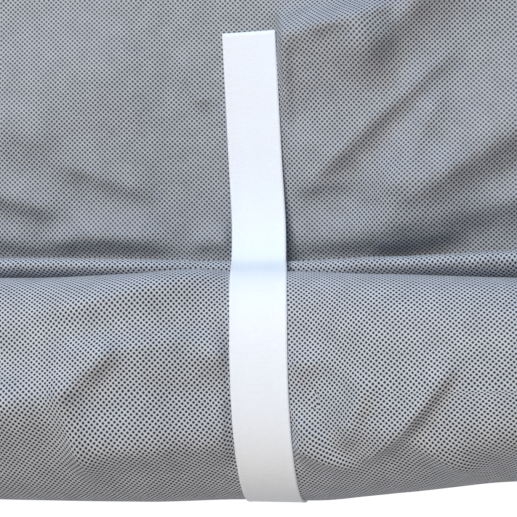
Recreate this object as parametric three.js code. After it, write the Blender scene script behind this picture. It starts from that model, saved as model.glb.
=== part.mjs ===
// A cut length of a caravan cover: the hanging cloth, its lower end rolled up on
// the viewer's side, and the tape strap that goes round the roll and holds it.
// Millimetres, +Z up, +X along the roll, the viewer on the -Y side. The origin is
// the middle of the hanging cloth's top edge.
//
// Heights below are measured from the crease, where the hanging cloth goes behind
// the roll. Depths are measured from the hanging cloth towards the viewer.

import * as THREE from 'three';

// Driving dimensions
const WIDTH = 600;
const WALL_HEIGHT = 270;
const CLOTH_THICKNESS = 1.5;
const STRAP_WIDTH = 25;
const STRAP_THICKNESS = 1.2;
const STRAP_GAP = 0.3;
const STRAP_FREE_END = 105;

// The strap leans: its middle moves to the right as it goes down the hanging cloth,
// by LEAN a millimetre up to LEAN_TOP, and further to the right round the roll
const STRAP_AT_CREASE = 1;
const STRAP_LEAN = 0.053;
const LEAN_TOP = 125;
// The strap's middle by the length of tape gone from the crease
const STRAP_WAY = table(['gone', 'x'], [
  [0, 1.0],
  [43, 5.8],
  [58, 7.5],
  [74, 8.7],
  [90, 9.2],
  [107, 9.8],
  [120, 10.5],
  [145, 12.0],
  [230, 16.0],
]);
const CREASE_TO_CROWN = 43;

// Where the strap turns from the hanging cloth towards the roll
const STRAP_BEND = table(['depth', 'height', 'x'], [
  [0.3, 60.0, -2.15],
  [0.6, 48.0, -1.5],
  [1.5, 36.0, -0.65],
  [3.1, 26.0, 0.2],
  [5.6, 17.0, 1.0],
  [9.2, 9.0, 1.7],
  [13.3, 2.5, 2.15],
  [17.6, -1.8, 2.6],
]);
// Nearest that a point of the hanging cloth may be to the strap's free end
const FREE_END_STEP = 2;

// Under the strap and CALM on each side of its middle the cloth is drawn flat,
// and it swells back to its free shape over GRIP_REACH
const CALM = 19;
const GRIP_REACH = 36;
// Above the strap's free end the folds come back, from CALM_END_MARGIN above it
const CALM_END_MARGIN = 3;
const CALM_ABOVE_END = 14;

// Each quarter of the roll is a superellipse. Rows: outline of the roll at places
// along it, and of the small fold that lies on top of it against the hanging cloth.
//   crown, belly, keel   heights of the top, the widest place and the bottom
//   depth                how far the belly stands in front of the hanging cloth
//   crownAt, keelAt      depths of the top and the bottom
//   upper, lower         exponents of the front's two quarters, 2 is round
//   foldTop, foldDepth   height and depth of the small upper fold
const SECTION_COLUMNS = [
  'x', 'crown', 'belly', 'keel', 'depth', 'crownAt', 'keelAt', 'upper', 'lower',
  'foldTop', 'foldDepth',
];
const ROLL_SECTIONS = table(SECTION_COLUMNS, [
  [-300, -6.0, -51, -101, 84, 52, 40, 2.3, 2.1, 2.0, 17],
  [-200, -9.0, -53, -105.8, 80, 50, 36, 2.4, 2.2, 0.5, 17],
  [-100, -9.0, -53, -107.6, 78, 50, 38, 2.5, 2.3, 0.0, 18],
  [-20, -7.0, -55, -107.3, 76, 48, 36, 2.5, 2.4, -0.8, 16],
  [55, -7.0, -54, -102.0, 82, 52, 38, 2.5, 2.1, 0.5, 16],
  [124, -8.5, -53, -94.8, 92, 58, 44, 2.4, 1.7, 3.5, 18],
  [200, -8.0, -50, -94.5, 92, 60, 44, 2.3, 1.7, 5.0, 19],
  [300, -6.5, -50, -98, 90, 58, 42, 2.2, 2.1, 4.0, 18],
]);
const UNDER_STRAP = table(SECTION_COLUMNS, [
  [0, -6.0, -58, -106.8, 66, 40, 28, 2.4, 2.3, -1.5, 11],
])[0];
const KEEL_RISE = 22;
const KEEL_EXPONENT = 2.2;
const ROUND = 2;
// The hanging cloth's front ends WALL_CLEARANCE above the small fold. The fold starts
// GROOVE_DROP below its top and GROOVE_DEPTH in front of the hanging cloth, and the
// valley between it and the roll lies VALLEY_DROP below the top of the roll.
const WALL_CLEARANCE = 1;
const GROOVE_DROP = 3;
const GROOVE_DEPTH = 0.1;
const VALLEY_DROP = 4;
const VALLEY_WIDTH = 0.6;
// Share of the fold's depth between its top and the groove behind it
const FOLD_BACK_SHARE = 0.33;
// The cloth behind the roll bulges back a little
const FLAP_BULGE = 1;

// Folds, each a ridge along a line that may bow, or a hollow where its height is
// negative. Rows: its two ends, how far it stands proud, how wide its upper and lower
// flanks are, and how far its middle is raised above the straight line.
const FOLD_COLUMNS = ['x1', 'z1', 'x2', 'z2', 'height', 'above', 'below', 'bow'];
const WALL_FOLDS = table(FOLD_COLUMNS, [
  [-156, 54, -36, 90, 7.5, 32, 26, 4],
  [-160, 64, -84, 52, 3.0, 12, 12, 2],
  [-100, 47, -45, 28, 3.8, 14, 8, 0],
  [-112, 4, -34, 4, 5.0, 12, 7, 6],
  [-164, 18, -97, 4, 4.5, 12, 7, 0],
  [-150, 37, -86, 20, 7.0, 12, 8, 0],
  [-6, 100, 66, 106, 11.0, 10, 34, 0],
  [98, 102, 12, 24, 7.0, 18, 7, 0],
  [88, 84, 58, 20, 6.0, 14, 8, 0],
  [164, 87, 42, 12, 11.0, 24, 11, 0],
  [102, 152, 40, 80, 11.0, 18, 11, 0],
  [2, 4, 66, 11, 2.0, 12, 7, 0],
  [44, 24, 104, 46, 5.0, 8, 20, 0],
  [14, 5, 190, 42, 6.0, 10, 8, 0],
  [46, 4, 98, 14, 5.0, 11, 6, 0],
  [-296, 150, -150, 108, 7.0, 30, 24, 8],
  [-290, 74, -150, 40, 6.0, 24, 15, -6],
  [-232, 262, -126, 150, 6.0, 32, 26, 6],
  [-70, 138, -96, 262, 5.0, 30, 24, 6],
  [12, 150, 52, 264, 5.5, 30, 24, -6],
  [120, 128, 276, 196, 7.0, 30, 22, -8],
  [148, 62, 296, 98, 6.0, 24, 16, 6],
  [140, 26, 290, 36, 6.0, 16, 11, 8],
  [-292, 24, -160, 16, 5.0, 14, 9, 7],
  [-214, 96, -196, 380, 7.0, 40, 34, 6],
  [-8, 160, 4, 380, 6.0, 36, 40, -6],
  [178, 120, 206, 380, 8.0, 42, 30, 8],
]);
const ROLL_FOLDS = table(FOLD_COLUMNS, [
  [-190, -64, -60, -60, 10.0, 10, 18, 0],
  [-100, -52, 14, -37, 3.6, 8, 24, 6],
  [-92, -27, 0, -6, 4.0, 9, 8, 0],
  [-84, -80, 18, -76, 5.0, 14, 9, 0],
  [97, -37, 51, -87, 4.0, 11, 7, -3],
  [-8, -44, 46, -80, 4.0, 7, 8, 0],
  [-8, -66, 56, -90, 4.0, 7, 7, 0],
  [70, -76, 150, -68, 5.0, 12, 12, 0],
  [146, -38, 262, -62, 4.0, 18, 14, -5],
  [176, -80, 288, -72, 3.5, 14, 12, 4],
  [-286, -70, -180, -50, 4.0, 16, 13, 5],
  [-256, -28, -168, -36, 3.0, 13, 11, 0],
]);
// A fold fades over this share of its length at each end
const FOLD_FADE = 0.3;
// The roll's folds fade where its surface turns away from the viewer
const FRONT_SHARE = 0.4;

// Mesh steps
const CALM_STEP = 4.4;
const NEAR_STEP = 10;
const FAR_STEP = 15;
const NEAR_REACH = 130;
const WALL_ROWS = 21;
const WALL_CROWDING = 1.5;
const FLAP_ROWS = 5;
const FOLD_STEPS = 3;
const FRONT_STEPS = 8;
const BACK_STEPS = 4;
// The strap is sewn to the back of the cloth and ends at this row of the flap
const STRAP_SEWN_ROW = 3;

function table(columns, rows) {
  return rows.map((row) => Object.fromEntries(columns.map((name, i) => [name, row[i]])));
}

function smooth(t) {
  const c = THREE.MathUtils.clamp(t, 0, 1);
  return c * c * (3 - 2 * c);
}

function blend(a, b, share) {
  return Object.fromEntries(
    SECTION_COLUMNS.map((name) => [name, THREE.MathUtils.lerp(a[name], b[name], share)]),
  );
}

// 1 under the strap and on the calm cloth beside it, 0 where the cloth is free
function grip(fromStrap) {
  return 1 - smooth((Math.abs(fromStrap) - CALM) / GRIP_REACH);
}

// The outline of the free roll at x, between its two neighbouring rows
function freeSection(x) {
  const last = ROLL_SECTIONS.length - 2;
  const found = ROLL_SECTIONS.findIndex((row, i) => i === last || x < ROLL_SECTIONS[i + 1].x);
  const left = ROLL_SECTIONS[found];
  const right = ROLL_SECTIONS[found + 1];
  return blend(left, right, smooth((x - left.x) / (right.x - left.x)));
}

// How far the folds of a table lift the cloth at x and height z
function foldLift(folds, x, z) {
  let lift = 0;
  for (const fold of folds) {
    const alongX = fold.x2 - fold.x1;
    const alongZ = fold.z2 - fold.z1;
    const length = Math.hypot(alongX, alongZ);
    const share = ((x - fold.x1) * alongX + (z - fold.z1) * alongZ) / length ** 2;
    if (share <= 0 || share >= 1) continue;
    const bowed = fold.bow * 4 * share * (1 - share);
    const upward = Math.sign(alongX);
    const across = (upward * ((z - fold.z1) * alongX - (x - fold.x1) * alongZ)) / length - bowed;
    const flank = across > 0 ? fold.above : fold.below;
    const fade = smooth(share / FOLD_FADE) * smooth((1 - share) / FOLD_FADE);
    lift += fold.height * fade * Math.exp(-((across / flank) ** 2));
  }
  return lift;
}

// One quarter of a superellipse round (depth, z), as points from the first
// direction to the second. It starts at a later step where the first is given already.
function quarter(centre, toStart, toEnd, exponent, steps, first) {
  const points = [];
  for (let i = first; i <= steps; i += 1) {
    const angle = (i / steps) * (Math.PI / 2);
    const startShare = Math.cos(angle) ** (2 / exponent);
    const endShare = Math.sin(angle) ** (2 / exponent);
    points.push([
      centre[0] + toStart[0] * startShare + toEnd[0] * endShare,
      centre[1] + toStart[1] * startShare + toEnd[1] * endShare,
    ]);
  }
  return points;
}

// Heights of the hanging cloth's rows, from the top edge down, closer together
// near the crease
function wallHeights(lowest) {
  return Array.from({ length: WALL_ROWS }, (_, i) => {
    const share = (1 - i / (WALL_ROWS - 1)) ** WALL_CROWDING;
    return lowest + (WALL_HEIGHT - lowest) * share;
  });
}

// The closed outline of the cloth for one set of section values, without folds:
// down the front of the hanging cloth, over the small fold, round the roll, and up
// the back. Each point is [depth, height, kind].
function outline(s) {
  const back = -CLOTH_THICKNESS;
  const front = wallHeights(s.foldTop + WALL_CLEARANCE).map((z) => [0, z, 'wall']);
  const groove = [[GROOVE_DEPTH, s.foldTop - GROOVE_DROP, 'roll']];
  const valleyHeight = s.crown - VALLEY_DROP;
  const foldHeight = s.foldTop - valleyHeight;
  const foldAxis = [s.foldDepth / 2, valleyHeight];
  const fold = [
    ...quarter(
      foldAxis, [-s.foldDepth * FOLD_BACK_SHARE, 0], [0, foldHeight], ROUND, FOLD_STEPS, 2,
    ),
    ...quarter(foldAxis, [0, foldHeight], [s.foldDepth / 2, 0], ROUND, FOLD_STEPS, 1),
  ];
  const valleyDepth = s.foldDepth + VALLEY_WIDTH;
  const valley = [[valleyDepth, valleyHeight]];
  const upperBack = quarter(
    [s.crownAt, valleyHeight], [valleyDepth - s.crownAt, 0], [0, VALLEY_DROP],
    ROUND, FOLD_STEPS, 1,
  );
  const upperFront = quarter(
    [s.crownAt, s.belly], [0, s.crown - s.belly], [s.depth - s.crownAt, 0],
    s.upper, FRONT_STEPS, 1,
  );
  const lowerFront = quarter(
    [s.keelAt, s.belly], [s.depth - s.keelAt, 0], [0, s.keel - s.belly],
    s.lower, FRONT_STEPS, 1,
  );
  const lowerBack = quarter(
    [s.keelAt, s.keel + KEEL_RISE], [0, -KEEL_RISE], [back - s.keelAt, 0],
    KEEL_EXPONENT, BACK_STEPS, 1,
  );
  const body = [...fold, ...valley, ...upperBack, ...upperFront, ...lowerFront, ...lowerBack];
  const flapFoot = s.keel + KEEL_RISE;
  const flap = Array.from({ length: FLAP_ROWS }, (_, i) => {
    const share = (i + 1) / (FLAP_ROWS + 1);
    const bulge = FLAP_BULGE * Math.sin(Math.PI * share);
    return [back - bulge, THREE.MathUtils.lerp(flapFoot, s.foldTop, share), 'flap'];
  });
  const rear = wallHeights(s.foldTop + WALL_CLEARANCE).reverse().map((z) => [back, z, 'wall']);
  return [
    ...front, ...groove, ...body.map(([depth, z]) => [depth, z, 'roll']), ...flap, ...rear,
  ];
}

// The strap's middle after a length of tape, between the rows of its table
function strapPlace(gone) {
  const next = STRAP_WAY.findIndex((row) => row.gone > gone);
  if (next === 0) return STRAP_WAY[0].x;
  if (next < 0) return STRAP_WAY.at(-1).x;
  const from = STRAP_WAY[next - 1];
  const to = STRAP_WAY[next];
  return THREE.MathUtils.mapLinear(gone, from.gone, to.gone, from.x, to.x);
}

const strapOutline = outline(UNDER_STRAP);

// Index of the top of the roll
const crownIndex = strapOutline.findIndex(([depth, z]) => (
  depth >= UNDER_STRAP.crownAt && z <= UNDER_STRAP.crown
));

// The strap's middle beside each point of the outline
const strapMiddle = (() => {
  const run = [0];
  for (let i = 1; i < strapOutline.length; i += 1) {
    const [depth, z] = strapOutline[i];
    const [depthBefore, zBefore] = strapOutline[i - 1];
    run.push(run[i - 1] + Math.hypot(depth - depthBefore, z - zBefore));
  }
  return strapOutline.map(([, z, kind], i) => {
    if (kind === 'wall' && i < WALL_ROWS) {
      return STRAP_AT_CREASE - STRAP_LEAN * Math.min(z, LEAN_TOP);
    }
    return strapPlace(run[i] - run[crownIndex] + CREASE_TO_CROWN);
  });
})();

// The outline at x with the strap's grip and the folds in it, as points in space
function clothRing(x) {
  const free = freeSection(x);
  const held = new Map();
  const shapeAt = (share) => {
    if (!held.has(share)) held.set(share, outline(blend(free, UNDER_STRAP, share)));
    return held.get(share);
  };
  const base = strapOutline.map((_, i) => shapeAt(grip(x - strapMiddle[i]))[i]);
  return base.map(([depth, z, kind], i) => {
    const aboveEnd = smooth((z - STRAP_FREE_END - CALM_END_MARGIN) / CALM_ABOVE_END);
    const ease = Math.max(1 - grip(x - strapMiddle[i]), aboveEnd);
    if (kind === 'wall') {
      return new THREE.Vector3(x, -(depth + ease * foldLift(WALL_FOLDS, x, z)), z);
    }
    if (kind === 'flap') return new THREE.Vector3(x, -depth, z);
    const before = base[i - 1];
    const after = base[i + 1];
    const run = Math.hypot(after[0] - before[0], after[1] - before[1]);
    const outDepth = (before[1] - after[1]) / run;
    const outZ = (after[0] - before[0]) / run;
    const frontal = smooth(outDepth + FRONT_SHARE);
    const lift = ease * frontal * foldLift(ROLL_FOLDS, x, z);
    return new THREE.Vector3(x, -(depth + outDepth * lift), z + outZ * lift);
  });
}

// Places along X: close together where the strap crosses, wide apart at the ends
function stations() {
  const calmFrom = Math.min(...strapMiddle) - CALM - CALM_STEP;
  const calmTo = Math.max(...strapMiddle) + CALM + CALM_STEP;
  const stops = [
    [-WIDTH / 2, -NEAR_REACH, FAR_STEP],
    [-NEAR_REACH, calmFrom, NEAR_STEP],
    [calmFrom, calmTo, CALM_STEP],
    [calmTo, NEAR_REACH, NEAR_STEP],
    [NEAR_REACH, WIDTH / 2, FAR_STEP],
  ];
  const places = [-WIDTH / 2];
  for (const [from, to, step] of stops) {
    const count = Math.ceil((to - from) / step);
    for (let i = 1; i <= count; i += 1) places.push(from + ((to - from) * i) / count);
  }
  return places;
}

// A closed body from rings of equal length, with both ends filled in. endTriangles
// gives the triangles of an end, each turning the same way as its ring.
function lofted(rings, endTriangles) {
  const size = rings[0].length;
  const positions = rings.flat().flatMap((p) => [p.x, p.y, p.z]);
  const index = [];
  for (let r = 0; r + 1 < rings.length; r += 1) {
    for (let i = 0; i < size; i += 1) {
      const a = r * size + i;
      const b = r * size + ((i + 1) % size);
      index.push(a, b, b + size, a, b + size, a + size);
    }
  }
  const last = (rings.length - 1) * size;
  for (const [a, b, c] of endTriangles(rings[0])) index.push(a, c, b);
  for (const [a, b, c] of endTriangles(rings.at(-1))) index.push(last + a, last + b, last + c);
  const geometry = new THREE.BufferGeometry();
  geometry.setAttribute('position', new THREE.Float32BufferAttribute(positions, 3));
  geometry.setIndex(turnedOut(positions, index));
  geometry.computeVertexNormals();
  return geometry;
}

// The triangles with their faces outwards: all are turned if the volume is negative
function turnedOut(positions, index) {
  const corner = (i) => new THREE.Vector3().fromArray(positions, index[i] * 3);
  let volume = 0;
  for (let i = 0; i < index.length; i += 3) {
    volume += corner(i).dot(corner(i + 1).cross(corner(i + 2)));
  }
  if (volume > 0) return index;
  const turned = [];
  for (let i = 0; i < index.length; i += 3) turned.push(index[i], index[i + 2], index[i + 1]);
  return turned;
}

// The end of the cloth: a ladder up the thin hanging part, and the roll's face below
function clothEnd(ring) {
  const triangles = [];
  for (let i = 0; i + 1 < WALL_ROWS; i += 1) {
    const rear = ring.length - 1 - i;
    triangles.push([i, i + 1, rear - 1], [i, rear - 1, rear]);
  }
  const first = WALL_ROWS - 1;
  const face = ring.slice(first, ring.length - first).map((p) => new THREE.Vector2(-p.y, p.z));
  for (const found of THREE.ShapeUtils.triangulateShape(face, [])) {
    triangles.push(found.map((i) => i + first).sort((a, b) => a - b));
  }
  return triangles;
}

// The strap's inner line, a gap away from the cloth: down the hanging cloth,
// straight over the small fold on to the roll, round it, and up the back to the
// place where it is sewn on. Each point is [depth, height, middle].
function strapLine() {
  const path = strapOutline.map(([depth, z], i) => [depth, z, strapMiddle[i]]);
  const bendTop = STRAP_BEND[0].height;
  const wall = path.slice(0, WALL_ROWS).filter(([, z]) => (
    z < STRAP_FREE_END - FREE_END_STEP && z > bendTop
  ));
  const top = [0, STRAP_FREE_END, STRAP_AT_CREASE - STRAP_LEAN * STRAP_FREE_END];
  const flap = strapOutline.findIndex(([, , kind]) => kind === 'flap');
  const round = path.slice(crownIndex, flap + STRAP_SEWN_ROW);
  const bend = STRAP_BEND.map(({ depth, height, x }) => [depth, height, x]);
  return [
    ...offset([top, ...wall], STRAP_GAP), ...bend, ...offset(round, STRAP_GAP),
  ];
}

// A line moved outwards by a distance, with mitred corners
function offset(line, distance) {
  return line.map(([depth, z, middle], i) => {
    const before = line[Math.max(i - 1, 0)];
    const after = line[Math.min(i + 1, line.length - 1)];
    const into = unitNormal(before, [depth, z]) ?? unitNormal([depth, z], after);
    const out = unitNormal([depth, z], after) ?? into;
    const mitre = distance / (1 + into[0] * out[0] + into[1] * out[1]);
    return [depth + (into[0] + out[0]) * mitre, z + (into[1] + out[1]) * mitre, middle];
  });
}

// Outward normal of the step from a to b, or null where the two are one point
function unitNormal(a, b) {
  const run = Math.hypot(b[0] - a[0], b[1] - a[1]);
  return run > 0 ? [(a[1] - b[1]) / run, (b[0] - a[0]) / run] : null;
}

function strapRings() {
  const inner = strapLine();
  const outer = offset(inner, STRAP_THICKNESS);
  return inner.map((near, i) => {
    const far = outer[i];
    const left = near[2] - STRAP_WIDTH / 2;
    const right = near[2] + STRAP_WIDTH / 2;
    return [
      new THREE.Vector3(left, -near[0], near[1]),
      new THREE.Vector3(right, -near[0], near[1]),
      new THREE.Vector3(right, -far[0], far[1]),
      new THREE.Vector3(left, -far[0], far[1]),
    ];
  });
}

const spunbondGrey = new THREE.MeshStandardMaterial({
  color: 0x9aa0ab, roughness: 0.85, metalness: 0,
});
const whiteTape = new THREE.MeshStandardMaterial({
  color: 0xeef3fa, roughness: 0.7, metalness: 0,
});

const cloth = new THREE.Mesh(
  lofted(stations().map(clothRing), clothEnd),
  spunbondGrey,
);
cloth.name = 'cover_cloth';

const strap = new THREE.Mesh(
  lofted(strapRings(), () => [[0, 1, 2], [0, 2, 3]]),
  whiteTape,
);
strap.name = 'strap';

const cover = new THREE.Group();
cover.add(cloth, strap);
cover.position.z = -WALL_HEIGHT;

export default cover;
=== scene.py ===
# %% [markdown]
# A cut length of a caravan cover hangs from its top edge. Its lower end is rolled
# up towards the viewer, and a white tape strap goes round the roll. The solids of
# both pieces come first, as a frame that gives every place and size. This script
# puts thin cloth, with the folds and the wound turns of the real thing, in their
# place, and gives each finish a material of its own.

# %% Load the frame
import math
import bpy
import numpy as np
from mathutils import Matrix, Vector


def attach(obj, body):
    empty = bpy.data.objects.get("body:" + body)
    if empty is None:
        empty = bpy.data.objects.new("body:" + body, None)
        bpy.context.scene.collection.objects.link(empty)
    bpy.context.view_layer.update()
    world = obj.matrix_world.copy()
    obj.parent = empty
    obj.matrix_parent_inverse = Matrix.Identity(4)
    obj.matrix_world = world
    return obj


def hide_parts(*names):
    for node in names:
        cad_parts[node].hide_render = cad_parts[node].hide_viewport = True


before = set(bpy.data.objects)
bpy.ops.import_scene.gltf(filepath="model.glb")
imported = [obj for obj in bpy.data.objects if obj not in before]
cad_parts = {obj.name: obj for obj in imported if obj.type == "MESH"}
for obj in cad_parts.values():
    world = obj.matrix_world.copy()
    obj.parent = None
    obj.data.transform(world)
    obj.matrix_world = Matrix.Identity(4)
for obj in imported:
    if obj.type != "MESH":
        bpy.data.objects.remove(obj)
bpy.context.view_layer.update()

# %% [markdown]
# Blender works in metres, but cloth is easier to think of in millimetres, so the
# sizes below are in millimetres and one factor turns them into metres at the end.
# Heights are measured from the crease, where the hanging cloth goes behind the
# roll, and depths from the hanging cloth towards the viewer.

# %% Sizes of the cloth and the strap
MM = 0.001
WIDTH = 600.0
WALL_HEIGHT = 270.0
CLOTH = 0.8
STRAP_WIDTH = 25.0
STRAP_THICKNESS = 1.0
STRAP_GAP = 0.2
STRAP_FREE_END = 105.0
STRAP_SEWN_END = -44.0
STRAP_AT_CREASE = 1.0
STRAP_LEAN = 0.053


def place(x, depth, height):
    """Millimetres across, in front of the hanging cloth and above the crease, in metres."""
    return np.stack([x, -depth, height - WALL_HEIGHT], axis=-1) * MM


# %% [markdown]
# The camera comes first, because it shows straight away whether the sizes are
# right. It stands level with the crease, a little to the right of the strap and
# square to the floor, as in a close-up taken from one step away.

# %% Camera
EYE_DISTANCE = 800.0
EYE_AZIMUTH = math.radians(8.0)
LENS_MM = 120.2

camera = bpy.data.objects.new("camera", bpy.data.cameras.new("camera"))
bpy.context.scene.collection.objects.link(camera)
camera.data.lens = LENS_MM
camera.data.sensor_width = 36.0
eye = (EYE_DISTANCE * math.sin(EYE_AZIMUTH), EYE_DISTANCE * math.cos(EYE_AZIMUTH), 0.0)
camera.location = Vector(place(*eye))
aim = Vector(place(0.0, 0.0, 0.0))
camera.rotation_euler = (aim - camera.location).to_track_quat("-Z", "Y").to_euler()
bpy.context.scene.camera = camera
print("the camera stands at", tuple(round(v, 3) for v in camera.location))

# %% [markdown]
# The roll is not round: it hangs from the cloth, the strap squeezes it in the
# middle and it sags to a flat underside on the right. So its outline is described
# at eight places along it, by a few numbers that a hand could measure, and every
# place in between is blended from its two neighbours. Each quarter of an outline
# is a superellipse, a curve that one exponent turns from slack to boxy. A small
# fold lies on top of the roll against the hanging cloth; it leans out over the
# roll like a lip, so that its face is darker than the roll's.

# %% Outline of the roll along its length
SECTION = [
    "x", "crown", "belly", "keel", "depth", "crown_at", "keel_at", "upper", "lower",
    "fold_top", "fold_depth",
]
ROLL = np.array([
    [-300, -6.0, -51, -101, 84, 52, 40, 2.3, 2.1, 2.0, 14],
    [-200, -9.0, -53, -105.8, 80, 50, 36, 2.4, 2.2, 0.5, 15],
    [-100, -9.0, -53, -107.6, 78, 50, 38, 2.5, 2.3, 0.0, 16],
    [-20, -7.0, -55, -107.3, 76, 48, 36, 2.5, 2.4, -0.8, 14],
    [55, -7.0, -54, -102.0, 82, 52, 38, 2.5, 2.1, 0.5, 13],
    [124, -8.5, -53, -94.8, 92, 58, 44, 2.4, 1.7, 3.5, 15],
    [200, -8.0, -50, -94.5, 92, 60, 44, 2.3, 1.7, 5.0, 16],
    [300, -6.5, -50, -98, 90, 58, 42, 2.2, 2.1, 4.0, 15],
])
UNDER_STRAP = np.array([0, -6.0, -58, -106.8, 66, 40, 28, 2.4, 2.3, -1.5, 8.5])
KEEL_RISE = 22.0
VALLEY_DROP = 3.0
BEAD_HEIGHT = 12.0
BEAD_START = math.radians(-50.0)
LIP_LEAN = 1.8
CALM = 12.8
GRIP_REACH = 44.0
FOLD_REACH = 3.5
KEEL_EXPONENT = 2.2
ROUND = 2.0
FLAP_BULGE = 1.0
FOLD_OVERLAP = 3.0
DIVE_LEAN = 1.0
DIVE_DEPTH = 40.0


def smooth(t):
    c = np.clip(t, 0.0, 1.0)
    return c * c * (3.0 - 2.0 * c)


def free_section(x):
    """The section values at each x, blended between the two rows beside it."""
    row = np.clip(np.searchsorted(ROLL[:, 0], x, side="right") - 1, 0, len(ROLL) - 2)
    share = smooth((x - ROLL[row, 0]) / (ROLL[row + 1, 0] - ROLL[row, 0]))
    return ROLL[row] + (ROLL[row + 1] - ROLL[row]) * share[:, None]


def grip(from_strap):
    """1 under the strap and close beside it, 0 where the cloth is free."""
    return 1.0 - smooth((np.abs(from_strap) - CALM) / GRIP_REACH)


# %% [markdown]
# The sheet is followed as it was rolled: down the hanging cloth, on down behind
# the roll, under it, up its front, over the top, up and over one small fold, and
# then inwards, turn after turn. Each stretch of that way gets its own number of
# rows, close together where the photograph looks and wide apart where nothing
# shows.

# %% Rows of the sheet along the way it was rolled
STRETCHES = {
    "upper wall": 25, "wall": 68, "flap": 9, "lower back": 10, "lower front": 38,
    "upper front": 36, "upper back": 10, "fold": 15, "dive": 5,
}
UPPER_WALL_FOOT = 130.0
TURNS = 6.5
ROWS_PER_TURN = 26
CORE_SHARE = 0.07
outer_rows = sum(STRETCHES.values())
stretch_of = np.concatenate([np.full(n, name) for name, n in STRETCHES.items()])
step_of = np.concatenate([(np.arange(n) + 1.0) / n for n in STRETCHES.values()])
step_of[0] = 0.0
print(outer_rows, "rows before the inner turns")


def quarter(centre, start, end, exponent, angle):
    """Points of a quarter of a superellipse, by the angle from its start to its end."""
    from_start = np.cos(angle) ** (2.0 / exponent)
    from_end = np.sin(angle) ** (2.0 / exponent)
    return (
        centre[0] + start[0] * from_start + end[0] * from_end,
        centre[1] + start[1] * from_start + end[1] * from_end,
    )


def outline(values):
    """Depth and height of every outer row, for section values of rows by x by value."""
    s = dict(zip(SECTION, np.moveaxis(values, -1, 0)))
    depth, height = np.zeros(values.shape[:2]), np.zeros(values.shape[:2])
    step = np.broadcast_to(step_of[:, None], depth.shape)
    angle = np.clip(step, 0.0, 1.0) * math.pi / 2
    back = np.full(depth.shape, -CLOTH / 2)
    nothing = np.zeros(depth.shape)
    foot = s["keel"] + KEEL_RISE
    valley = np.minimum(s["crown"] - VALLEY_DROP, s["fold_top"] - BEAD_HEIGHT)
    bead_angle = BEAD_START + (math.pi - BEAD_START) * step
    bead_low = math.sin(BEAD_START)
    bead_rise = (np.sin(bead_angle) - bead_low) / (1.0 - bead_low)
    ways = {
        "upper wall": (back, WALL_HEIGHT + (UPPER_WALL_FOOT - WALL_HEIGHT) * step),
        "wall": (back, UPPER_WALL_FOOT * (1.0 - step)),
        "flap": (back - FLAP_BULGE * np.sin(math.pi * step), foot * step),
        "lower back": quarter(
            (s["keel_at"], foot), (back - s["keel_at"], nothing),
            (nothing, -KEEL_RISE + nothing), KEEL_EXPONENT, angle,
        ),
        "lower front": quarter(
            (s["keel_at"], s["belly"]), (nothing, s["keel"] - s["belly"]),
            (s["depth"] - s["keel_at"], nothing), s["lower"], angle,
        ),
        "upper front": quarter(
            (s["crown_at"], s["belly"]), (s["depth"] - s["crown_at"], nothing),
            (nothing, s["crown"] - s["belly"]), s["upper"], angle,
        ),
        "upper back": quarter(
            (s["crown_at"], valley), (nothing, s["crown"] - valley),
            (s["fold_depth"] - FOLD_OVERLAP - s["crown_at"], nothing), ROUND, angle,
        ),
        "fold": (
            s["fold_depth"] * (0.5 + LIP_LEAN * bead_rise * (1.0 - step))
            + (s["fold_depth"] / 2 - CLOTH) * np.cos(bead_angle),
            valley + (s["fold_top"] - valley) * bead_rise,
        ),
        "dive": (CLOTH + DIVE_LEAN * step, valley * (1.0 - step) - DIVE_DEPTH * step),
    }
    for name, (d, h) in ways.items():
        rows = stretch_of == name
        depth[rows], height[rows] = (d + nothing)[rows], (h + nothing)[rows]
    return depth, height


# %% [markdown]
# The strap leans a little, so the calm cloth under it does too. Its middle moves
# to the right as it goes down the hanging cloth, and further to the right along
# the roll, by the length that the tape has travelled from the crease.

# %% Where the strap crosses each row
strap_depth, strap_height = outline(
    np.broadcast_to(UNDER_STRAP, (outer_rows, 1, len(SECTION)))
)
strap_depth, strap_height = strap_depth[:, 0], strap_height[:, 0]
on_wall = (stretch_of == "upper wall") | (stretch_of == "wall")
on_roll = ~on_wall & (stretch_of != "dive")
crown_row = np.flatnonzero(stretch_of == "upper front")[-1]
LEAN_TOP = 125.0
CREASE_TO_CROWN = 43.0
STRAP_WAY = np.array([
    [0, 1.0], [43, 5.8], [58, 7.5], [74, 8.7], [90, 9.2], [107, 9.8], [120, 10.5], [145, 12.0],
    [230, 16.0],
])

steps = np.hypot(np.diff(strap_depth), np.diff(strap_height))
along = np.concatenate([[0.0], np.cumsum(steps)])
travelled = np.clip(along[crown_row] - along + CREASE_TO_CROWN, 0.0, None)
strap_middle = STRAP_AT_CREASE + np.where(
    on_wall, -STRAP_LEAN * np.minimum(strap_height, LEAN_TOP),
    np.interp(travelled, STRAP_WAY[:, 0], STRAP_WAY[:, 1]) - STRAP_AT_CREASE,
)
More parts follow.
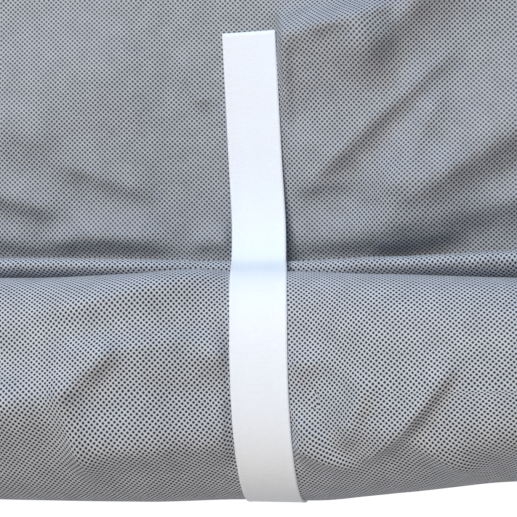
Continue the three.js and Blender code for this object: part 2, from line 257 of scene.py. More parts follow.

# %% [markdown]
# Cloth creases where it is pulled and sags where it is slack. A simulation would give some folds, but
# not these ones, so the folds are listed one by one: each is a ridge along a line, with a width for
# its upper and its lower flank. A narrow lower flank makes the dark streak that a real crease shows
# under its crest.

# %% Folds of the hanging cloth and of the roll
FOLD = ["x1", "z1", "x2", "z2", "height", "above", "below", "bow", "crisp"]
WALL_FOLDS = [
    [-156, 54, -36, 90, 7.5, 32, 38, 4, 2.0],
    [-160, 64, -84, 52, 3.0, 12, 12, 2, 1.8],
    [-100, 47, -45, 28, 3.8, 14, 5, 0, 1.5],
    [-112, 4, -34, 4, 5.5, 12, 6, 6, 1.6],
    [-164, 18, -97, 4, 4.5, 12, 6, 0, 1.6],
    [-150, 37, -86, 20, 6.0, 12, 6, 0, 1.6],
    [-38, 98, -24, 66, 2.5, 5, 4, 0, 1.4],
    [-36, 7, 6, 7, 3.0, 8, 4, 0, 1.5],
    [-140, 1, -10, -1, -2.0, 6, 7, 0, 2.0],
    [0, 1, 96, 3, -2.0, 6, 7, 0, 2.0],
    [-6, 100, 66, 106, 14.5, 10, 32, 0, 1.8],
    [17, 50, 17, 108, -4.0, 3, 10, 0, 1.8],
    [98, 102, 12, 24, 7.0, 18, 5.5, 0, 1.4],
    [88, 84, 58, 20, 6.0, 14, 8, 0, 1.3],
    [164, 87, 42, 12, 11.0, 24, 11, 0, 1.7],
    [102, 152, 40, 80, 11.0, 18, 11, 0, 1.6],
    [18, 103, 68, 116, 6.0, 8, 3.5, 0, 1.4],
    [2, 4, 66, 11, 2.0, 12, 6, 0, 1.8],
    [44, 24, 104, 46, 5.0, 8, 20, 0, 1.8],
    [14, 5, 190, 42, 6.0, 10, 8, 0, 1.8],
    [46, 4, 98, 14, 5.0, 11, 5, 0, 1.6],
    [16, 31, 48, 36, 2.0, 6, 3, 0, 1.4],
    [-296, 150, -150, 108, 7.0, 30, 24, 8, 1.8],
    [-290, 74, -150, 40, 6.0, 24, 15, -6, 1.6],
    [-232, 262, -126, 150, 6.0, 32, 26, 6, 1.8],
    [-70, 138, -96, 262, 5.0, 30, 24, 6, 1.8],
    [12, 150, 52, 264, 5.5, 30, 24, -6, 1.8],
    [120, 128, 276, 196, 7.0, 30, 22, -8, 1.8],
    [148, 62, 296, 98, 6.0, 24, 16, 6, 1.6],
    [-292, 24, -160, 16, 5.0, 14, 9, 7, 1.6],
    [-214, 96, -196, 380, 7.0, 40, 34, 6, 2.0],
    [-8, 160, 4, 380, 6.0, 36, 40, -6, 2.0],
    [178, 120, 206, 380, 8.0, 42, 30, 8, 2.0],
]
ROLL_FOLDS = [
    [-190, -64, -60, -60, 12.0, 10, 18, 0, 1.8],
    [-100, -50, 14, -37, 4.2, 5, 30, 6, 1.3],
    [-92, -27, 0, -6, 4.5, 9, 6, 0, 1.6],
    [-46, -36, -78, -62, 5.0, 9, 3.5, 0, 1.4],
    [-76, -46, -60, -98, 6.0, 9, 5, 0, 1.4],
    [-84, -80, 18, -76, 5.5, 14, 9, 0, 1.8],
    [97, -37, 51, -87, 6.0, 11, 2.2, -3, 1.2],
    [-24, -40, 46, -45, 4.5, 4, 7, 0, 1.5],
    [-6, -48, 44, -82, 6.0, 4, 7, 0, 1.4],
    [60, -44, 44, -82, 4.0, 8, 4, 0, 1.4],
    [-8, -66, 56, -90, 6.0, 5, 5, 0, 1.4],
    [66, -70, 108, -88, 3.0, 5, 6, 0, 1.5],
    [70, -76, 150, -68, 5.0, 12, 12, 0, 1.8],
    [146, -38, 262, -62, 4.0, 18, 14, -5, 1.8],
    [176, -80, 288, -72, 3.5, 14, 12, 4, 1.8],
    [-286, -70, -180, -50, 4.0, 16, 13, 5, 1.8],
    [-256, -28, -168, -36, 3.0, 13, 11, 0, 1.8],
]
FOLD_FADE = 0.3


def fold_lift(folds, x, z):
    """How far the folds of a table lift the cloth at x and height z."""
    lift = np.zeros(np.broadcast(x, z).shape)
    for row in folds:
        f = dict(zip(FOLD, row))
        along_x, along_z = f["x2"] - f["x1"], f["z2"] - f["z1"]
        length = math.hypot(along_x, along_z)
        share = ((x - f["x1"]) * along_x + (z - f["z1"]) * along_z) / length**2
        inside = np.clip(share, 0.0, 1.0)
        bowed = f["bow"] * 4.0 * inside * (1.0 - inside)
        upward = math.copysign(1.0, along_x)
        across = upward * ((z - f["z1"]) * along_x - (x - f["x1"]) * along_z) / length - bowed
        flank = np.where(across > 0.0, f["above"], f["below"])
        fade = smooth(inside / FOLD_FADE) * smooth((1.0 - inside) / FOLD_FADE)
        lift += f["height"] * fade * np.exp(-((np.abs(across) / flank) ** f["crisp"]))
    return lift


# %% [markdown]
# Columns run across the sheet. They are 1.9 mm apart in the part that the
# photograph shows and wider apart towards the ends. The inner turns hide behind
# the outer one but for their edges, so they keep only every few columns.

# %% Columns of the sheet
NEAR_REACH = 130.0
NEAR_COLUMNS = 138
FAR_COLUMNS = 27
FAR_EVEN = 0.6
FAR_WIDENING = 0.4
END_COLUMNS = 5
INNER_START = 8
INNER_STEP = 12

near_columns = np.linspace(-NEAR_REACH, NEAR_REACH, NEAR_COLUMNS)
far_share = (np.arange(FAR_COLUMNS) + 1.0) / FAR_COLUMNS
far_spread = FAR_EVEN * far_share + FAR_WIDENING * far_share**1.5
far_columns = NEAR_REACH + (WIDTH / 2 - NEAR_REACH) * far_spread
columns = np.concatenate([-far_columns[::-1], near_columns, far_columns])
inner_columns = np.unique(np.concatenate([
    np.arange(END_COLUMNS),
    np.arange(INNER_START, len(columns) - INNER_START, INNER_STEP),
    len(columns) - 1 - np.arange(END_COLUMNS),
]))
print(len(columns), "columns, of which the inner turns keep", len(inner_columns))


# %% [markdown]
# The cloth is calm under the strap and close beside it, and its folds come back
# above the strap's free end. On the roll a fold lifts the cloth along its own
# slope, and fades where the surface turns away from the viewer.

# %% Shape of the outer rows
ABOVE_END = 14.0
ABOVE_END_START = 0.2
FLAP_FADE = 9.0
FRONT_SHARE = 0.4


def outer_sheet():
    from_strap = columns[None, :] - strap_middle[:, None]
    held = grip(from_strap)[:, :, None]
    values = free_section(columns)[None] * (1.0 - held) + UNDER_STRAP * held
    depth, height = outline(values)
    x = np.broadcast_to(columns, depth.shape)
    above_end = smooth((height - STRAP_FREE_END) / ABOVE_END - ABOVE_END_START)
    ease = np.maximum(smooth((np.abs(from_strap) - CALM) / FOLD_REACH), above_end)
    wall_lift = fold_lift(WALL_FOLDS, x, np.maximum(height, 0.0)) * ease
    flap_lift = wall_lift * smooth((height + FLAP_FADE) / FLAP_FADE)
    run_d = np.gradient(depth, axis=0)
    run_h = np.gradient(height, axis=0)
    run = np.hypot(run_d, run_h)
    out_d, out_h = run_h / run, -run_d / run
    frontal = smooth(out_d + FRONT_SHARE)
    roll_lift = fold_lift(ROLL_FOLDS, x, height) * ease * frontal
    flap = stretch_of == "flap"
    lifted = on_wall | flap
    depth[on_wall] += wall_lift[on_wall]
    depth[flap] += flap_lift[flap]
    rolled = ~lifted & (stretch_of != "dive") & (stretch_of != "fold")
    depth[rolled] += (out_d * roll_lift)[rolled]
    height[rolled] += (out_h * roll_lift)[rolled]
    return x, depth, height


sheet_x, sheet_depth, sheet_height = outer_sheet()
print("the outer rows stand up to", round(float(sheet_depth.max())), "mm in front of the wall")

# %% [markdown]
# Inside, the sheet winds on towards the middle of the roll. Its turns show only
# at the two ends, where they are the first thing that tells a roll from a bar,
# so each turn is a little uneven and its edge stands a little further in or out.

# %% Shape of the inner turns
WOBBLE = 0.03
WOBBLE_DRIFT = 1.7
WOBBLE_LENGTH = 70.0
TURN_START = math.radians(170.0)
INNER_GAP_DEPTH = 2.4
INNER_GAP_HEIGHT = 3.4
BOXY = 0.9


def inner_sheet():
    x = columns[inner_columns]
    s = dict(zip(SECTION, free_section(x).T))
    count = int(TURNS * ROWS_PER_TURN)
    turn = (np.arange(count) / ROWS_PER_TURN)[:, None]
    held = grip(x - STRAP_AT_CREASE)
    depth_under_strap = UNDER_STRAP[SECTION.index("depth")]
    half_depth = (s["depth"] * (1 - held) + depth_under_strap * held) / 2
    half_height = (s["crown"] - s["keel"]) / 2
    share = 1.0 - (1.0 - CORE_SHARE) * turn / TURNS
    angle = TURN_START + turn * 2 * math.pi
    uneven = 1.0 + WOBBLE * np.sin(2 * angle + WOBBLE_DRIFT * turn + x / WOBBLE_LENGTH)
    reach_d = (half_depth - INNER_GAP_DEPTH) * share * uneven
    reach_h = (half_height - INNER_GAP_HEIGHT) * share * (2.0 - uneven)
    cos, sin = np.cos(angle), np.sin(angle)
    depth = half_depth + reach_d * np.sign(cos) * np.abs(cos) ** BOXY
    height = (s["crown"] + s["keel"]) / 2 + reach_h * np.sign(sin) * np.abs(sin) ** BOXY
    return np.broadcast_to(x, depth.shape), depth, height, turn


inner_x, inner_depth, inner_height, inner_turn = inner_sheet()
print("the inner turns have", len(inner_turn), "rows in", TURNS, "turns")

# %% [markdown]
# The diamond grid of the bonded dimples is printed into the cloth, so it has to
# bend and turn with it. The sheet carries a UV map in real metres, which is the
# cloth laid flat again. It starts as a plain grid, and then every mesh edge pulls
# or pushes its two ends, like a spring, until the flat lengths match those on the
# bent surface. That keeps the dimples round and evenly spaced over every fold.

# %% The cloth laid flat
FLATTEN_ROUNDS = 12
PULLS_A_ROUND = 40
EVENING_A_ROUND = 10
PULL_STRENGTH = 1.2
EDGE_KINDS = [(0, 1), (1, 0), (1, 1), (1, -1)]


def ends_of(grid, kind):
    """The two ends of every mesh edge or diagonal of one kind, as views of a grid."""
    down, across = kind
    if across >= 0:
        first = grid[:grid.shape[0] - down, :grid.shape[1] - across]
        return first, grid[down:, across:]
    return grid[:-down, -across:], grid[down:, :across]


def evened_grid(grid):
    """Each point moved half way to the mean of its four neighbours."""
    padded = np.pad(grid, ((1, 1), (1, 1), (0, 0)), mode="edge")
    beside = padded[1:-1, :-2] + padded[1:-1, 2:] + padded[:-2, 1:-1] + padded[2:, 1:-1]
    return grid / 2.0 + beside / 8.0


def laid_flat(points, start):
    """Flat coordinates of a grid of points, from a first guess, by springs."""
    flat = start.copy()
    rest = [np.linalg.norm(np.subtract(*ends_of(points, kind)), axis=-1) for kind in EDGE_KINDS]
    pulls = np.zeros(flat.shape[:2] + (1,))
    for kind in EDGE_KINDS:
        for end in ends_of(pulls, kind):
            end += 1.0
    for _ in range(FLATTEN_ROUNDS):
        for _ in range(PULLS_A_ROUND):
            move = np.zeros_like(flat)
            for kind, length in zip(EDGE_KINDS, rest):
                first, second = ends_of(flat, kind)
                reach = second - first
                now = np.linalg.norm(reach, axis=-1)
                pull = reach * ((now - length) / now / 2.0)[..., None]
                to_first, to_second = ends_of(move, kind)
                to_first += pull
                to_second -= pull
            flat += move / pulls * PULL_STRENGTH
        moved = flat - start
        for _ in range(EVENING_A_ROUND):
            moved = evened_grid(moved)
        flat = start + moved
    return flat


def lengths_along(x, depth, height):
    steps = np.sqrt(np.diff(x, axis=0) ** 2 + np.diff(depth, axis=0) ** 2
                    + np.diff(height, axis=0) ** 2)
    return np.concatenate([np.zeros((1, x.shape[1])), np.cumsum(steps, axis=0)])


run_length = lengths_along(sheet_x, sheet_depth, sheet_height)
wall_foot = np.flatnonzero(on_wall)[-1]
mean_run = run_length.mean(axis=1)
first_guess = np.stack(
    [sheet_x, np.broadcast_to((mean_run[wall_foot] - mean_run)[:, None], sheet_x.shape)], axis=-1
)
outer_flat = laid_flat(np.stack([sheet_x, sheet_depth, sheet_height], axis=-1), first_guess)
inner_length = lengths_along(inner_x, inner_depth, inner_height)
JOIN_LENGTH = 3.0
inner_flat = np.stack(
    [inner_x, outer_flat[-1, inner_columns, 1] - JOIN_LENGTH - inner_length], axis=-1
)

# %% [markdown]
# The dimples stand in straight rows on the hanging cloth, but the roll was wound
# a little skew, so its rows slant. The map is turned by one angle down to the back
# of the roll and by another from there on, where nobody looks.

# %% Slant of the dimple rows
WALL_TURN = math.radians(2.0)
ROLL_TURN = math.radians(-7.0)


def slanted(flat, angle):
    u, v = flat[..., 0], flat[..., 1]
    return np.stack([
        u * math.cos(angle) + v * math.sin(angle), -u * math.sin(angle) + v * math.cos(angle),
    ], axis=-1)


flap_end = np.flatnonzero(stretch_of == "flap")[-1]
print("the map turns below row", flap_end)

# %% [markdown]
# Now the outer rows and the inner turns become one mesh. A thickness is added to
# it afterwards, half on each side, so it is one closed piece of cloth.

# %% Build the cloth
EDGE_FROM = 250.0
EDGE_REACH = 50.0
EDGE_WANDER = 2.2
WANDER_A_TURN = 2.3
WANDER_START = 1.0


def cloth_mesh():
    """One sheet: the outer rows with all columns, then the inner turns with fewer."""
    rows, cols = sheet_x.shape
    inner_rows, inner_cols = inner_x.shape
    edge = smooth((np.abs(inner_x) - EDGE_FROM) / EDGE_REACH) * np.sign(inner_x)
    wander = EDGE_WANDER * np.sin(WANDER_A_TURN * inner_turn + WANDER_START) * edge
    points = np.concatenate([
        place(sheet_x, sheet_depth, sheet_height).reshape(-1, 3),
        place(inner_x + wander, inner_depth, inner_height).reshape(-1, 3),
    ])
    outer = np.arange(rows * cols).reshape(rows, cols)
    inner = rows * cols + np.arange(inner_rows * inner_cols).reshape(inner_rows, inner_cols)

    def quads(grid):
        return np.stack([grid[:-1, :-1], grid[:-1, 1:], grid[1:, 1:], grid[1:, :-1]],
                        axis=-1).reshape(-1, 4).tolist()

    join = []
    for k in range(inner_cols - 1):
        first, last = inner_columns[k], inner_columns[k + 1]
        join.append([*outer[-1, first:last + 1].tolist(), inner[0, k + 1], inner[0, k]])
    mesh = bpy.data.meshes.new("cover_cloth_sheet")
    mesh.from_pydata(points.tolist(), [], quads(outer) + join + quads(inner))
    layer = mesh.uv_layers.new(name="cloth_grid")
    corner = np.zeros(len(mesh.loops), dtype=np.int32)
    mesh.loops.foreach_get("vertex_index", corner)
    flat = np.concatenate([outer_flat.reshape(-1, 2), inner_flat.reshape(-1, 2)])[corner] * MM
    wall_corners = flap_end * (cols - 1) * 4
    uv = np.concatenate([
        slanted(flat[:wall_corners], WALL_TURN), slanted(flat[wall_corners:], ROLL_TURN),
    ])
    layer.data.foreach_set("uv", uv.astype(np.float32).ravel())
    mesh.polygons.foreach_set("use_smooth", np.ones(len(mesh.polygons), dtype=bool))
    mesh.update()
    return mesh


cloth = bpy.data.objects.new("cloth_sheet", cloth_mesh())
bpy.context.scene.collection.objects.link(cloth)
thicken = cloth.modifiers.new("thickness", "SOLIDIFY")
thicken.thickness = CLOTH * MM
thicken.offset = 0.0
print("the sheet has", len(cloth.data.polygons), "faces before it gets its thickness")

# %% [markdown]
# The strap is plain tape: it lies on the hanging cloth, bends away from it towards
# the top of the roll, follows the roll round and is sewn to the back of the cloth.
# Its line is taken from the outline under it and from a short table of the bend,
# where it is tight and clears the small fold. Then it is made smooth, because tape
# bends in one even curve where cloth would fold. Its two woven edges are a little
# thicker than the middle.

# %% Line of the strap
STRAP_STEP = 1.6
BEND_CLEARANCE = 1.5
FREE_END_STEP = 1.0
STRAP_BEND = [
    [0.0, 60.0, -2.15], [0.3, 48.0, -1.5], [1.2, 36.0, -0.65], [2.8, 26.0, 0.2],
    [5.3, 17.0, 1.0], [8.9, 9.0, 1.7], [13.0, 2.5, 2.15], [17.3, -2.6, 2.6],
]
STRAP_SMOOTHING = 18


def strap_points():
    """Depth, height and middle of the tape's line, from its free end to its sewn end."""
    low = STRAP_BEND[0][1] + BEND_CLEARANCE
    high = STRAP_FREE_END - FREE_END_STEP
    wall = on_wall & (strap_height < high) & (strap_height > low)
    wall_part = np.stack([strap_depth, strap_height, strap_middle], axis=1)[wall]
    top = [[-CLOTH / 2, STRAP_FREE_END, STRAP_AT_CREASE - STRAP_LEAN * STRAP_FREE_END]]
    round_roll = on_roll & (stretch_of != "fold") & (stretch_of != "upper back")
    sewn = (stretch_of == "flap") & (strap_height > STRAP_SEWN_END)
    rows = np.flatnonzero(round_roll & ~sewn)[::-1]
    roll_part = np.stack([strap_depth, strap_height, strap_middle], axis=1)[rows]
    foot = np.array([[0.0, STRAP_SEWN_END, roll_part[-1, 2]]])
    foot[0, 0] = np.interp(STRAP_SEWN_END, strap_height[stretch_of == "flap"],
                           strap_depth[stretch_of == "flap"])
    return np.concatenate([top, wall_part, STRAP_BEND, roll_part, foot])


def evenly(points, step):
    """The same line with its points at even distances."""
    travelled = np.concatenate([[0.0], np.cumsum(np.linalg.norm(np.diff(points, axis=0), axis=1))])
    places = np.linspace(0.0, travelled[-1], int(travelled[-1] / step) + 1)
    return np.stack([np.interp(places, travelled, points[:, k]) for k in range(3)], axis=1)


def evened(points, times):
    for _ in range(times):
        inner = (points[:-2] + 2.0 * points[1:-1] + points[2:]) / 4.0
        points = np.concatenate([points[:1], inner, points[-1:]])
    return points


def directions(line):
    """Unit vectors along the tape, across it and out of it, with x, depth and height."""
    path = np.stack([line[:, 2], line[:, 0], line[:, 1]], axis=1)
    along_tape = np.gradient(path, axis=0)
    along_tape /= np.linalg.norm(along_tape, axis=1)[:, None]
    out = np.stack([np.zeros(len(path)), -along_tape[:, 2], along_tape[:, 1]], axis=1)
    out /= np.linalg.norm(out, axis=1)[:, None]
    across_tape = np.cross(out, along_tape)
    return path, along_tape, across_tape, out


strap_line = evened(evenly(strap_points(), STRAP_STEP), STRAP_SMOOTHING)
path, along_tape, across_tape, out = directions(strap_line)
if across_tape[0, 0] < 0:
    across_tape = -across_tape
print("it faces", out[5].round(2), "on the hanging cloth and", out[len(out) // 2].round(2), "in front")

# %% [markdown]
# The tape's cross-section is carried along that line. Its corners are a little
# rounded, and a raised strip on each side is the woven edge.

# %% Mesh of the strap
EDGE_WIDTH = 1.2
EDGE_EXTRA = 0.1
EDGE_ROUND = 0.15
EDGE_FALL = 0.5
MIDDLE_PLACES = [7.0, 3.5, 0.0]


def tape_section():
    """Offsets across and out of the tape, once round it."""
    half = STRAP_WIDTH / 2
    woven = half - EDGE_WIDTH
    places = [half - EDGE_ROUND, woven, woven - EDGE_FALL, *MIDDLE_PLACES]
    places = places + [-p for p in places[-2::-1]]
    body = STRAP_THICKNESS / 2
    extra = [EDGE_EXTRA if abs(p) > woven - EDGE_FALL / 2 else 0.0 for p in places]
    outside = [(p, body + e) for p, e in zip(places, extra)]
    inside = [(p, -body) for p in places[::-1]]
    return [(half, 0.0), *outside, (-half, 0.0), *inside]


def strap_mesh():
    section = np.array(tape_section())
    lift = CLOTH / 2 + STRAP_GAP + STRAP_THICKNESS / 2
    ring = (
        path[:, None] + across_tape[:, None] * section[None, :, :1]
        + out[:, None] * (section[None, :, 1:] + lift)
    )
    count, size = ring.shape[:2]
    points = place(ring[..., 0], ring[..., 1], ring[..., 2]).reshape(-1, 3)
    grid = np.arange(count * size).reshape(count, size)
    after = np.roll(grid, -1, axis=1)
    quads = np.stack([grid[:-1], after[:-1], after[1:], grid[1:]], axis=-1).reshape(-1, 4)
    faces = quads.tolist() + [grid[0, ::-1].tolist(), grid[-1].tolist()]
    mesh = bpy.data.meshes.new("strap_tape")
    mesh.from_pydata(points.tolist(), [], faces)
    run = np.concatenate([[0.0], np.cumsum(np.linalg.norm(np.diff(path, axis=0), axis=1))])
    uv = np.stack(np.broadcast_arrays(section[None, :, 0], run[:, None]), axis=-1).reshape(-1, 2)
    layer = mesh.uv_layers.new(name="tape_grid")
    corner = np.zeros(len(mesh.loops), dtype=np.int32)
    mesh.loops.foreach_get("vertex_index", corner)
    layer.data.foreach_set("uv", (uv[corner] * MM).astype(np.float32).ravel())
    mesh.polygons.foreach_set("use_smooth", np.ones(len(mesh.polygons), dtype=bool))
    mesh.update()
    return mesh


tape = bpy.data.objects.new("strap_tape", strap_mesh())
bpy.context.scene.collection.objects.link(tape)
print("the strap has", len(tape.data.polygons), "faces")

# %% [markdown]
# At the back the tape is sewn on with a box of stitches and a cross in it. Guide
# lines are laid on the tape there, and a node tree sets a stitch every few
# millimetres along them. The tree is then turned into a plain mesh, so that it
# leaves nothing behind that would be worked out again.

# %% Guide lines of the stitches
BOX_LENGTH = 18.0
BOX_HALF_WIDTH = 9.0
BOX_MARGIN = 4.0
GUIDE_PARTS = 10


def on_tape(across, from_end):
    """A point on the outside of the tape, by its place across and from the sewn end."""
    back = np.cumsum(np.linalg.norm(np.diff(path[::-1], axis=0), axis=1))
    row = len(path) - 2 - int(np.searchsorted(back, from_end))
    surface = CLOTH / 2 + STRAP_GAP + STRAP_THICKNESS
    return path[row] + across_tape[row] * across + out[row] * surface


def stitch_guides():
    low, high = BOX_MARGIN, BOX_MARGIN + BOX_LENGTH
    left, right = -BOX_HALF_WIDTH, BOX_HALF_WIDTH
    lines = [
        ((left, low), (right, low)), ((right, low), (right, high)),
        ((right, high), (left, high)), ((left, high), (left, low)),
        ((left, low), (right, high)), ((right, low), (left, high)),
    ]
    points, edges = [], []
    for start, end in lines:
        first = len(points)
        for share in np.linspace(0.0, 1.0, GUIDE_PARTS + 1):
            spot = on_tape(*(np.array(start) * (1.0 - share) + np.array(end) * share))
            points.append(place(*spot).tolist())
        edges += [(first + i, first + i + 1) for i in range(GUIDE_PARTS)]
    mesh = bpy.data.meshes.new("strap_stitches")
    mesh.from_pydata(points, edges, [])
    return mesh


stitches = bpy.data.objects.new("strap_stitches", stitch_guides())
bpy.context.scene.collection.objects.link(stitches)
print("the stitches follow", len(stitches.data.edges), "short guide lines")

# %% [markdown]
# Every finish below starts from what the real one is made of. Colours are written
# as the hex values that a picture shows and turned to linear light by one function.
# One more function adds a node, sets its values and joins its inputs.

# %% Helpers for the finishes
def linear(hex_value):
    """A hex colour as linear light, with alpha."""
    parts = [((hex_value >> shift) & 0xFF) / 255.0 for shift in (16, 8, 0)]
    return (*[p / 12.92 if p <= 0.04045 else ((p + 0.055) / 1.055) ** 2.4 for p in parts], 1.0)


def finish_named(name):
    material = bpy.data.materials.new(name)
    material.use_nodes = True
    shader = material.node_tree.nodes["Principled BSDF"]
    return material, material.node_tree, shader


def add(tree, kind, values=None, **settings):
    """A node of a kind, with its settings, and its inputs as numbers or as sockets."""
    node = tree.nodes.new(kind)
    for key, value in settings.items():
        setattr(node, key, value)
    for key, value in (values or {}).items():
        if isinstance(value, bpy.types.NodeSocket):
            tree.links.new(value, node.inputs[key])
        else:
            node.inputs[key].default_value = value
    return node


# %% [markdown]
# The cloth is spunbond: polypropylene threads blown into a felt and bonded by a
# hot roller with small pins. Each pin leaves a dimple where the threads have
# melted together, smooth and darker than the pale felt round it. The dimples
# stand in a square lattice turned by 45 degrees, 1.64 mm apart.

# %% Dimples of the cloth
DIMPLE_PITCH = 1.64
DIMPLE_RADIUS = 0.33
DIMPLE_BLUR = 0.15
DIMPLE_DEPTH = 0.16


def dimples(tree, grid):
    """1 in each dimple of the lattice and 0 on the felt between them."""
    turned_grid = add(
        tree, "ShaderNodeMapping",
        {"Vector": grid, "Rotation": (0.0, 0.0, math.radians(45.0)),
         "Scale": (1.0 / (DIMPLE_PITCH * MM),) * 3},
    )
    cell = add(tree, "ShaderNodeVectorMath", {0: turned_grid.outputs[0]}, operation="FRACTION")
    centred = add(tree, "ShaderNodeVectorMath", {0: cell.outputs[0], 1: (0.5, 0.5, 0.0)},
                  operation="SUBTRACT")
    away = add(tree, "ShaderNodeVectorMath", {0: centred.outputs[0]}, operation="LENGTH")
    return add(
        tree, "ShaderNodeMapRange",
        {"Value": away.outputs["Value"], "From Min": DIMPLE_RADIUS - DIMPLE_BLUR,
         "From Max": DIMPLE_RADIUS + DIMPLE_BLUR, "To Min": 1.0, "To Max": 0.0},
        interpolation_type="SMOOTHSTEP",
    ).outputs[0]


print("dimples every", DIMPLE_PITCH, "mm")

# %% [markdown]
# The pins pressed on one side, which has the darker dimples. It faces out on the
# roll and at the back, because the cloth is rolled up towards the viewer. The front
# of the hanging part is the other, smoother side. Uneven felt gives soft blotches a
# few millimetres wide, and its threads give a fine fuzz.

# %% The two sides of the cloth
BLOTCH_SIZE = 9.0
FIBRE_SIZE = 0.9
FUZZ_DEPTH = 0.12
RIPPLE_DEPTH = 0.7
FELT_ROUGHNESS = 0.9
FELT_SHINE = 0.25


def spunbond(name, felt_colour, dimple_colour, gloss):
    """One side of the cloth: felt with dimples, whose roughness gloss gives."""
    material, tree, shader = finish_named(name)
    grid = add(tree, "ShaderNodeUVMap", uv_map="cloth_grid").outputs["UV"]
    dimple = dimples(tree, grid)
    blotch = add(tree, "ShaderNodeTexNoise",
                 {"Vector": grid, "Scale": 1.0 / (BLOTCH_SIZE * MM), "Detail": 3.0}).outputs[0]
    fibres = add(tree, "ShaderNodeTexNoise",
                 {"Vector": grid, "Scale": 1.0 / (FIBRE_SIZE * MM), "Detail": 2.0}).outputs[0]
    tone = add(tree, "ShaderNodeMapRange",
               {"Value": blotch, "From Min": 0.3, "From Max": 0.7, "To Min": 0.92, "To Max": 1.07})
    felt = add(tree, "ShaderNodeVectorMath",
               {0: felt_colour[:3], "Scale": tone.outputs[0]}, operation="SCALE")
    colour = add(tree, "ShaderNodeMix", {0: dimple, 6: felt.outputs[0], 7: dimple_colour},
                 data_type="RGBA")
    tree.links.new(colour.outputs[2], shader.inputs["Base Color"])
    shader.inputs["Specular IOR Level"].default_value = FELT_SHINE
    polish = add(tree, "ShaderNodeMapRange",
                 {"Value": dimple, "To Min": FELT_ROUGHNESS, "To Max": gloss})
    tree.links.new(polish.outputs[0], shader.inputs["Roughness"])
    dent = add(tree, "ShaderNodeBump",
               {"Height": dimple, "Distance": DIMPLE_DEPTH * MM, "Strength": 1.0}, invert=True)
    fuzz = add(tree, "ShaderNodeBump",
               {"Height": fibres, "Distance": FUZZ_DEPTH * MM, "Normal": dent.outputs[0]})
    ripple = add(tree, "ShaderNodeBump",
                 {"Height": blotch, "Distance": RIPPLE_DEPTH * MM, "Normal": fuzz.outputs[0]})
    tree.links.new(ripple.outputs[0], shader.inputs["Normal"])
    return material


smooth_side = spunbond("grey_spunbond_smooth_side", linear(0xB3B7BF), linear(0x474B54), 0.4)
pin_side = spunbond("grey_spunbond_pin_side", linear(0xC2C7D1), linear(0x0E1016), 0.5)
cloth.data.materials.append(pin_side)
cloth.data.materials.append(smooth_side)
thicken.material_offset = 1
print("the cloth is", smooth_side.name, "on one side and", pin_side.name, "on the other")

# %% [markdown]
# The strap is polypropylene tape woven with fine cross ribs. It is bright white,
# a little glossy, and its two woven edges catch the light. The real ribs are
# 0.4 mm apart, too fine to show, so they are drawn 0.8 mm apart and very shallow.

# %% White tape
TAPE = linear(0xEBF1FB)
RIB_PITCH = 0.8
RIB_DEPTH = 0.02
WEAVE_SIZE = 1.5
WEAVE_DEPTH = 0.06


def woven_tape():
    material, tree, shader = finish_named("white_woven_tape")
    grid = add(tree, "ShaderNodeUVMap", uv_map="tape_grid").outputs["UV"]
    parts = add(tree, "ShaderNodeSeparateXYZ", {0: grid})
    ribs = add(tree, "ShaderNodeMath",
               {0: parts.outputs[1], 1: 2 * math.pi / (RIB_PITCH * MM)}, operation="MULTIPLY")
    wave = add(tree, "ShaderNodeMath", {0: ribs.outputs[0]}, operation="SINE")
    fuzz = add(tree, "ShaderNodeTexNoise",
               {"Vector": grid, "Scale": 1.0 / (WEAVE_SIZE * MM), "Detail": 2.0}).outputs[0]
    tone = add(tree, "ShaderNodeMapRange",
               {"Value": fuzz, "From Min": 0.3, "From Max": 0.7, "To Min": 0.97, "To Max": 1.0})
    colour = add(tree, "ShaderNodeVectorMath", {0: TAPE[:3], "Scale": tone.outputs[0]},
                 operation="SCALE")
    tree.links.new(colour.outputs[0], shader.inputs["Base Color"])
    shader.inputs["Roughness"].default_value = 0.6
    ribbed = add(tree, "ShaderNodeBump",
                 {"Height": wave.outputs[0], "Distance": RIB_DEPTH * MM})
    woven = add(tree, "ShaderNodeBump",
                {"Height": fuzz, "Distance": WEAVE_DEPTH * MM, "Normal": ribbed.outputs[0]})
    tree.links.new(woven.outputs[0], shader.inputs["Normal"])
    return material


tape_finish = woven_tape()
tape.data.materials.append(tape_finish)
print("the strap is", tape_finish.name)

# %% [markdown]
# The thread is a shade greyer than the tape. Each stitch is a small stretched
# ball that lies along its guide line.

# %% Stitches
STITCH_PITCH = 3.0
STITCH_LENGTH = 2.4
THREAD_THICKNESS = 0.5

thread_finish, _, thread_shader = finish_named("white_polyester_thread")
thread_shader.inputs["Base Color"].default_value = linear(0xD9DDE2)
thread_shader.inputs["Roughness"].default_value = 0.5


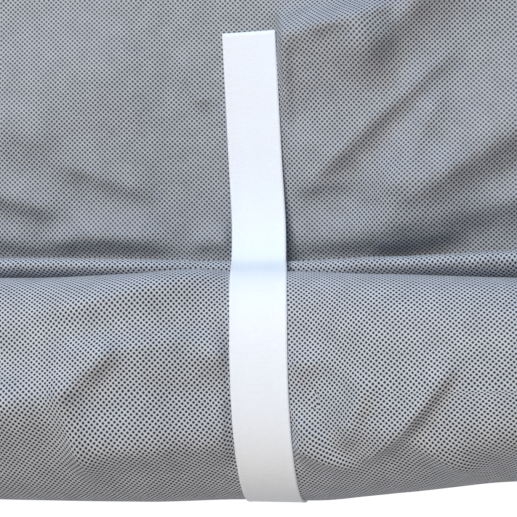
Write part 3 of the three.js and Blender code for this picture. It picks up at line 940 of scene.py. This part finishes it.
def stitch_tree():
    """Guide lines in, a stitch at even steps along them out."""
    tree = bpy.data.node_groups.new("stitches_along_lines", "GeometryNodeTree")
    tree.interface.new_socket("Geometry", in_out="INPUT", socket_type="NodeSocketGeometry")
    for name in ("Stitch Pitch", "Stitch Length", "Thread Thickness"):
        tree.interface.new_socket(name, in_out="INPUT", socket_type="NodeSocketFloat")
    tree.interface.new_socket("Thread", in_out="INPUT", socket_type="NodeSocketMaterial")
    tree.interface.new_socket("Geometry", in_out="OUTPUT", socket_type="NodeSocketGeometry")
    given = add(tree, "NodeGroupInput").outputs
    lines = add(tree, "GeometryNodeMeshToCurve", {0: given["Geometry"]})
    spots = add(tree, "GeometryNodeResampleCurve",
                {"Curve": lines.outputs[0], "Length": given["Stitch Pitch"]}, mode="LENGTH")
    ball = add(tree, "GeometryNodeMeshUVSphere", {"Segments": 8, "Rings": 6, "Radius": 0.5})
    size = add(tree, "ShaderNodeCombineXYZ",
               {0: given["Stitch Length"], 1: given["Thread Thickness"],
                2: given["Thread Thickness"]})
    along_line = add(tree, "GeometryNodeInputTangent")
    turned = add(tree, "FunctionNodeAlignRotationToVector", {"Vector": along_line.outputs[0]},
                 axis="X")
    placed = add(tree, "GeometryNodeInstanceOnPoints",
                 {"Points": spots.outputs[0], "Instance": ball.outputs[0],
                  "Rotation": turned.outputs[0], "Scale": size.outputs[0]})
    real = add(tree, "GeometryNodeRealizeInstances", {0: placed.outputs[0]})
    finished = add(tree, "GeometryNodeSetMaterial",
                   {"Geometry": real.outputs[0], "Material": given["Thread"]})
    add(tree, "NodeGroupOutput", {0: finished.outputs[0]})
    return tree


def sewn(piece):
    """Runs the tree on a piece and leaves it as a plain mesh."""
    tree = stitch_tree()
    settings = {
        "Stitch Pitch": STITCH_PITCH * MM, "Stitch Length": STITCH_LENGTH * MM,
        "Thread Thickness": THREAD_THICKNESS * MM, "Thread": thread_finish,
    }
    modifier = piece.modifiers.new("stitches", "NODES")
    modifier.node_group = tree
    for item in tree.interface.items_tree:
        if item.name in settings:
            modifier[item.identifier] = settings[item.name]
    piece.update_tag()
    evaluated = piece.evaluated_get(bpy.context.evaluated_depsgraph_get())
    mesh = bpy.data.meshes.new_from_object(evaluated)
    mesh.materials.clear()
    mesh.materials.append(thread_finish)
    piece.modifiers.clear()
    piece.data = mesh


sewn(stitches)
print("the stitches have", len(stitches.data.polygons), "faces in", stitches.data.materials[0].name)

# %% [markdown]
# The cover hangs well above a plain pale floor. A white backdrop that shines
# evenly stands far behind it, so nothing but white shows under the roll.

# %% Floor and backdrop
FLOOR_HEIGHT = -1.2
STAGE_HALF = 3.2
BACKDROP_DISTANCE = 3.0
BACKDROP_GLOW = 1.0
STAGE_WHITE = linear(0xF2F2F0)


def stage_plane(name, corners, material):
    mesh = bpy.data.meshes.new(name)
    mesh.from_pydata(corners, [], [(0, 1, 2, 3)])
    mesh.materials.append(material)
    piece = bpy.data.objects.new(name, mesh)
    bpy.context.scene.collection.objects.link(piece)
    return piece


floor_paint, _, floor_shader = finish_named("pale_studio_paint")
floor_shader.inputs["Base Color"].default_value = STAGE_WHITE
floor_shader.inputs["Roughness"].default_value = 0.9
half, low, far = STAGE_HALF, FLOOR_HEIGHT, BACKDROP_DISTANCE
stage_plane("floor", [(-half, -half, low), (half, -half, low), (half, far, low),
                      (-half, far, low)], floor_paint)
glowing_paint, _, glow_shader = finish_named("glowing_backdrop")
glow_shader.inputs["Base Color"].default_value = (0.0, 0.0, 0.0, 1.0)
glow_shader.inputs["Emission Color"].default_value = (1.0, 1.0, 1.0, 1.0)
glow_shader.inputs["Emission Strength"].default_value = BACKDROP_GLOW
stage_plane("backdrop", [(-half, far, low), (half, far, low), (half, far, -low),
                         (-half, far, -low)], glowing_paint)
print("the floor is", -FLOOR_HEIGHT, "m below the top edge")

# %% [markdown]
# The light is that of a bright overcast day. A wide light in front and above
# makes the folds that face up light and those that face down dark, and a bluish
# one overhead stands for the sky. A faint warm one from below stands for the light
# that the ground throws back, and an even surround fills the shadows.

# %% Light
scene = bpy.context.scene
scene.view_settings.view_transform = "Standard"
scene.view_settings.look = "None"


def area_light(name, location, target, size, power, colour):
    light = bpy.data.lights.new(name, "AREA")
    light.shape = "SQUARE"
    light.size = size
    light.energy = power
    light.color = linear(colour)[:3]
    lamp = bpy.data.objects.new(name, light)
    bpy.context.scene.collection.objects.link(lamp)
    lamp.location = location
    direction = Vector(target) - Vector(location)
    lamp.rotation_euler = direction.to_track_quat("-Z", "Y").to_euler()
    return lamp


middle = (0.0, 0.0, -0.27)
area_light("front_light", (-0.4, -1.4, 0.65), middle, 0.9, 22.2, 0xFFF8EC)
area_light("sky_light", (-0.25, -0.7, 1.0), middle, 0.8, 8.3, 0x86C8FF)
area_light("bounce_light", (0.15, -0.9, -1.1), middle, 1.0, 2.4, 0xFFDDC2)
SURROUND = 0.25
world = bpy.data.worlds.new("surround")
world.use_nodes = True
world.node_tree.nodes["Background"].inputs["Color"].default_value = linear(0xFFF6EC)
world.node_tree.nodes["Background"].inputs["Strength"].default_value = SURROUND
scene.world = world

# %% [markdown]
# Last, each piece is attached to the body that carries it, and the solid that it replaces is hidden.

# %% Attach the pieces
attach(cloth, "root")
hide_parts("cover_cloth")
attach(tape, "root")
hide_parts("strap")
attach(stitches, "root")
